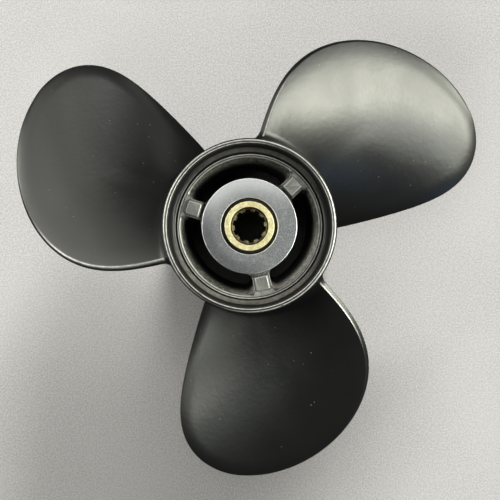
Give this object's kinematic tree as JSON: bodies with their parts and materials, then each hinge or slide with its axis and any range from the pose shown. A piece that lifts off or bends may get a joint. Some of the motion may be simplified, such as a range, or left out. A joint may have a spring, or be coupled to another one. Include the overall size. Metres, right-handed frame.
{
  "type": "outboard motor propeller",
  "caption": "Right-hand propeller for a small outboard motor: broad skewed blades on a hollow barrel with exhaust passages, ribs, a rubber bush and a splined brass sleeve.",
  "frame": {"origin": "the centroid, on the shaft axis; the aft rim that the part stands on is 50.3 mm below it", "axes": "+Z along the shaft axis, forward, towards the gearcase; +X lies 27 degrees short of one blade's tip, turning from +X towards +Y"},
  "size_m": [0.2295, 0.2147, 0.095],
  "materials": {
    "black_casting": "satin",
    "bush_rubber": "matte",
    "sleeve_brass": "satin"
  },
  "bodies": {
    "root": {"cast_propeller": "black_casting", "rubber_bush": "bush_rubber", "splined_sleeve": "sleeve_brass"}
  },
  "joints": []
}
